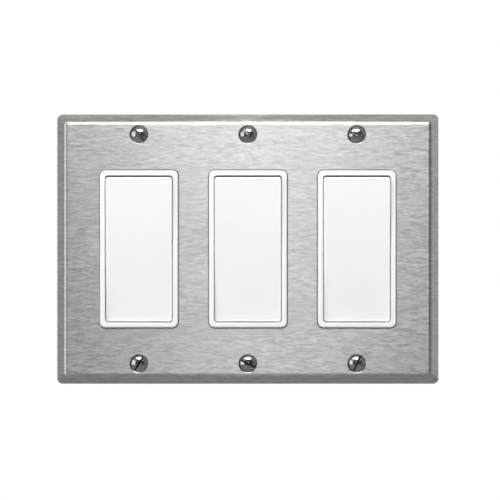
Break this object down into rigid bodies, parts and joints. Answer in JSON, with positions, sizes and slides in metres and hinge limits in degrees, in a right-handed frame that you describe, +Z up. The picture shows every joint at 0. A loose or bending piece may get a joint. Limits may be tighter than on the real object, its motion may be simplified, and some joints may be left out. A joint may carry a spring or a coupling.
{
  "type": "decorator rocker switch set",
  "caption": "Gang of white decorator rocker switches under a bevelled brushed-stainless wall plate with slotted oval-head screws.",
  "frame": {"origin": "centre of the wall plate in the plane of its rim, which lies on the wall", "axes": "+X to the viewer's right along the plate's length, +Y into the wall, +Z up; the front faces -Y"},
  "size_m": [0.1618, 0.0335, 0.1142],
  "materials": {
    "brushed_stainless": "brushed along the plate's length",
    "polished_nickel": "polished",
    "white_plastic": "satin gloss, moulded",
    "grey_housing": "matt, moulded",
    "acetal": "matt, moulded",
    "spring_steel": "drawn wire",
    "zinc_steel": "bright zinc plate",
    "zinc_screw": "bright zinc plate",
    "clamp_steel": "plain spring steel",
    "rivet_steel": "satin",
    "bronze": "rolled strip",
    "brass": "rolled strip",
    "brass_screw": "turned",
    "green_screw": "green dyed zinc plate",
    "silver": "cold-headed silver alloy"
  },
  "bodies": {
    "base": {"wall_plate": "brushed_stainless", "plate_screws": "polished_nickel", "strap_left": "zinc_steel", "front_frame_left": "white_plastic", "fixed_contact_left": "silver", "load_terminal_left": "brass", "line_terminal_left": "brass", "terminal_screws_left": "brass_screw", "ground_screw_left": "green_screw", "wire_clamps_left": "clamp_steel", "rear_housing_left": "grey_housing", "rivets_left": "rivet_steel", "box_screws_left": "zinc_screw", "screw_washers_left": "clamp_steel", "strap_middle": "zinc_steel", "front_frame_middle": "white_plastic", "fixed_contact_middle": "silver", "load_terminal_middle": "brass", "line_terminal_middle": "brass", "terminal_screws_middle": "brass_screw", "ground_screw_middle": "green_screw", "wire_clamps_middle": "clamp_steel", "rear_housing_middle": "grey_housing", "rivets_middle": "rivet_steel", "box_screws_middle": "zinc_screw", "screw_washers_middle": "clamp_steel", "strap_right": "zinc_steel", "front_frame_right": "white_plastic", "fixed_contact_right": "silver", "load_terminal_right": "brass", "line_terminal_right": "brass", "terminal_screws_right": "brass_screw", "ground_screw_right": "green_screw", "wire_clamps_right": "clamp_steel", "rear_housing_right": "grey_housing", "rivets_right": "rivet_steel", "box_screws_right": "zinc_screw", "screw_washers_right": "clamp_steel"},
    "rocker_left": {"rocker_left": "white_plastic", "plunger_spring_left": "spring_steel"},
    "plunger_left": {"plunger_left": "acetal"},
    "lever_left": {"contact_lever_left": "bronze", "moving_contact_left": "silver"},
    "rocker_middle": {"rocker_middle": "white_plastic", "plunger_spring_middle": "spring_steel"},
    "plunger_middle": {"plunger_middle": "acetal"},
    "lever_middle": {"contact_lever_middle": "bronze", "moving_contact_middle": "silver"},
    "rocker_right": {"rocker_right": "white_plastic", "plunger_spring_right": "spring_steel"},
    "plunger_right": {"plunger_right": "acetal"},
    "lever_right": {"contact_lever_right": "bronze", "moving_contact_right": "silver"}
  },
  "joints": [
    {"name": "rocker_left_press", "type": "hinge", "parent": "base", "child": "rocker_left", "pos_m": [-0.04604, -0.0035, 0], "axis": [-1, 0, 0], "range_deg": [0, 8.5]},
    {"name": "lever_left_rock", "type": "hinge", "parent": "base", "child": "lever_left", "pos_m": [-0.04604, 0.0131, 0], "axis": [1, 0, 0], "range_deg": [0, 11]},
    {"name": "plunger_left_slide", "type": "slide", "parent": "rocker_left", "child": "plunger_left", "axis": [0, -0.9973, -0.0741], "range_m": [0, 0.001], "stiffness_N_per_m": 800, "springref_m": -0.001, "deforming": ["plunger_spring_left"]},
    {"name": "rocker_middle_press", "type": "hinge", "parent": "base", "child": "rocker_middle", "pos_m": [0, -0.0035, 0], "axis": [-1, 0, 0], "range_deg": [0, 8.5]},
    {"name": "lever_middle_rock", "type": "hinge", "parent": "base", "child": "lever_middle", "pos_m": [0, 0.0131, 0], "axis": [1, 0, 0], "range_deg": [0, 11]},
    {"name": "plunger_middle_slide", "type": "slide", "parent": "rocker_middle", "child": "plunger_middle", "axis": [0, -0.9973, -0.0741], "range_m": [0, 0.001], "stiffness_N_per_m": 800, "springref_m": -0.001, "deforming": ["plunger_spring_middle"]},
    {"name": "rocker_right_press", "type": "hinge", "parent": "base", "child": "rocker_right", "pos_m": [0.04604, -0.0035, 0], "axis": [-1, 0, 0], "range_deg": [0, 8.5]},
    {"name": "lever_right_rock", "type": "hinge", "parent": "base", "child": "lever_right", "pos_m": [0.04604, 0.0131, 0], "axis": [1, 0, 0], "range_deg": [0, 11]},
    {"name": "plunger_right_slide", "type": "slide", "parent": "rocker_right", "child": "plunger_right", "axis": [0, -0.9973, -0.0741], "range_m": [0, 0.001], "stiffness_N_per_m": 800, "springref_m": -0.001, "deforming": ["plunger_spring_right"]}
  ],
  "couplings": [
    {"joint": "lever_left_rock", "follows": "rocker_left_press", "ratio": 1.2941},
    {"joint": "lever_middle_rock", "follows": "rocker_middle_press", "ratio": 1.2941},
    {"joint": "lever_right_rock", "follows": "rocker_right_press", "ratio": 1.2941}
  ]
}
